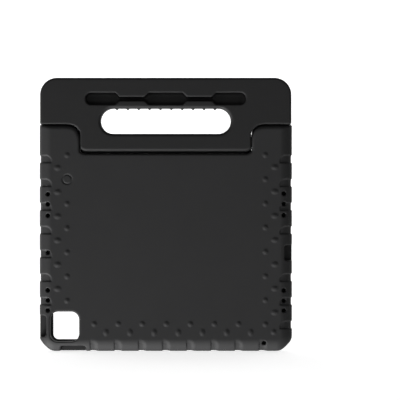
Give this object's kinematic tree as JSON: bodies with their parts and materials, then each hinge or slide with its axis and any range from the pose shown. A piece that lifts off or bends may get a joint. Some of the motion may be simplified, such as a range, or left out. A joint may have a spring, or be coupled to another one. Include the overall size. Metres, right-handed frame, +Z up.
{
  "type": "tablet case",
  "caption": "Thick foam bumper case for a large tablet, with a bay and front lip, side cut-outs, and a full-width carry handle that folds on a hidden hinge to make a stand.",
  "frame": {"origin": "centre of the bounding box's footprint, at the bottom edge of the case", "axes": "+Z up from the bottom edge to the handle; +Y out of the screen side, so the back panel faces -Y; +X to the right as seen from the back"},
  "size_m": [0.307, 0.022, 0.332],
  "materials": {
    "foam": "matte, fine-grained moulded foam",
    "nylon": "smooth moulded nylon",
    "fibre": "pressed fibre"
  },
  "bodies": {
    "case": {"case_body": "foam", "hinge_bush_right": "nylon", "hinge_bush_left": "nylon", "friction_washer_right": "fibre", "friction_washer_left": "fibre"},
    "carry_handle": {"handle": "foam", "hinge_rod": "nylon", "hinge_sleeve_right": "nylon", "hinge_sleeve_left": "nylon"}
  },
  "joints": [
    {"name": "handle_hinge", "type": "hinge", "parent": "case", "child": "carry_handle", "pos_m": [0, 0, 0.2554], "axis": [1, 0, 0], "range_deg": [-90, 90]}
  ]
}
